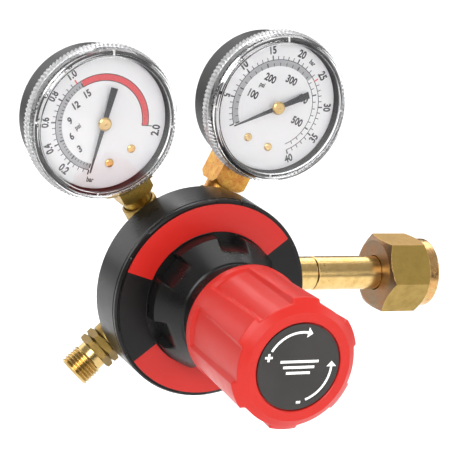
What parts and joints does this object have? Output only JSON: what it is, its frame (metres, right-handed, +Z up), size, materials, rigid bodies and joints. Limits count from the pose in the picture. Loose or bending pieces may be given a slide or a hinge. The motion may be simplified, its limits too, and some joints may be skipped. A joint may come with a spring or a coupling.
{
  "type": "gas pressure regulator",
  "caption": "Single-stage fuel gas regulator: brass body, black bonnet with red knob, two round dial gauges, threaded hose outlet and a loose hexagonal inlet nut on a stem.",
  "frame": {"origin": "centre of the inlet nut's mouth, on the inlet axis", "axes": "+X out of the inlet towards the cylinder valve, -Y towards the user who faces the knob and dials, +Z up"},
  "size_m": [0.2117, 0.1364, 0.1648],
  "materials": {
    "brass_cast": "forged and machined brass, slightly tarnished",
    "brass_turned": "bright turned brass",
    "brass_nut": "drawn hexagon brass with dull flats and turned ends",
    "brass_small": "stamped and turned brass",
    "sintered_bronze": "sintered bronze, matt",
    "steel": "zinc plated steel",
    "black_paint": "satin black paint",
    "pointer_black": "matt black paint",
    "dial_white": "matt white enamel with printed scales",
    "label_print": "printed film label, red and black",
    "knob_red": "glossy red moulded plastic",
    "knob_insert_black": "satin black plastic with white print",
    "rubber_black": "fabric-reinforced rubber",
    "clear_lens": "clear polycarbonate"
  },
  "bodies": {
    "regulator": {"body": "brass_cast", "bonnet": "black_paint", "front_label": "label_print", "adjusting_spring": "steel", "slip_ring": "steel", "diaphragm": "rubber_black", "seat_nozzle": "brass_turned", "poppet_spring": "steel", "inlet_nipple": "brass_turned", "inlet_filter": "sintered_bronze", "outlet_fitting": "brass_turned", "low_case": "black_paint", "low_lens": "clear_lens", "low_dial": "dial_white", "low_dial_screw_left": "brass_small", "low_dial_screw_right": "brass_small", "low_socket": "brass_cast", "low_bourdon_tube": "brass_small", "low_movement_front": "brass_small", "low_movement_back": "brass_small", "high_case": "black_paint", "high_lens": "clear_lens", "high_dial": "dial_white", "high_dial_screw_left": "brass_small", "high_dial_screw_right": "brass_small", "high_socket": "brass_cast", "high_bourdon_tube": "brass_small", "high_movement_front": "brass_small", "high_movement_back": "brass_small"},
    "screw_carriage": {"spring_button": "steel"},
    "knob_assembly": {"knob": "knob_red", "knob_insert": "knob_insert_black", "knob_screw": "steel", "adjusting_screw": "steel"},
    "diaphragm_plate": {"diaphragm_plate": "steel"},
    "poppet": {"valve_poppet": "brass_turned", "poppet_seat": "rubber_black"},
    "nut": {"inlet_nut": "brass_nut"},
    "low_pointer_assembly": {"low_pointer": "pointer_black", "low_pointer_hub": "brass_small", "low_arbor": "steel"},
    "low_sector_assembly": {"low_sector_gear": "brass_small", "low_tip_link": "brass_small"},
    "high_pointer_assembly": {"high_pointer": "pointer_black", "high_pointer_hub": "brass_small", "high_arbor": "steel"},
    "high_sector_assembly": {"high_sector_gear": "brass_small", "high_tip_link": "brass_small"}
  },
  "joints": [
    {"name": "screw_travel", "type": "slide", "parent": "regulator", "child": "screw_carriage", "axis": [0, 1, 0], "range_m": [0, 0.009], "deforming": ["adjusting_spring"]},
    {"name": "knob_turn", "type": "hinge", "parent": "screw_carriage", "child": "knob_assembly", "pos_m": [-0.128, -0.0895, 0], "axis": [0, 1, 0], "range_deg": [0, 2160]},
    {"name": "diaphragm_travel", "type": "slide", "parent": "regulator", "child": "diaphragm_plate", "axis": [0, 1, 0], "range_m": [0, 0.0008], "stiffness_N_per_m": 1500, "deforming": ["diaphragm"]},
    {"name": "poppet_travel", "type": "slide", "parent": "regulator", "child": "poppet", "axis": [0, 1, 0], "range_m": [0, 0.0008], "stiffness_N_per_m": 300, "deforming": ["poppet_spring"]},
    {"name": "nut_spin", "type": "hinge", "parent": "regulator", "child": "nut", "pos_m": [0, 0, 0], "axis": [1, 0, 0], "continuous": true},
    {"name": "low_pointer_turn", "type": "hinge", "parent": "regulator", "child": "low_pointer_assembly", "pos_m": [-0.17748, -0.011, 0.07119], "axis": [0, 1, 0], "range_deg": [0, 270], "stiffness_Nm_per_rad": 0.002},
    {"name": "low_sector_turn", "type": "hinge", "parent": "regulator", "child": "low_sector_assembly", "pos_m": [-0.18205, -0.011, 0.05849], "axis": [0, 1, 0], "range_deg": [-33.75, 0]},
    {"name": "high_pointer_turn", "type": "hinge", "parent": "regulator", "child": "high_pointer_assembly", "pos_m": [-0.0958, -0.011, 0.0805], "axis": [0, 1, 0], "range_deg": [0, 270], "stiffness_Nm_per_rad": 0.002},
    {"name": "high_sector_turn", "type": "hinge", "parent": "regulator", "child": "high_sector_assembly", "pos_m": [-0.10892, -0.011, 0.07731], "axis": [0, 1, 0], "range_deg": [-33.75, 0]}
  ],
  "couplings": [
    {"joint": "knob_turn", "follows": "screw_travel", "rad_per_m": 4188.8},
    {"joint": "poppet_travel", "follows": "diaphragm_travel", "ratio": 1},
    {"joint": "low_sector_turn", "follows": "low_pointer_turn", "ratio": -0.125},
    {"joint": "high_sector_turn", "follows": "high_pointer_turn", "ratio": -0.125}
  ]
}
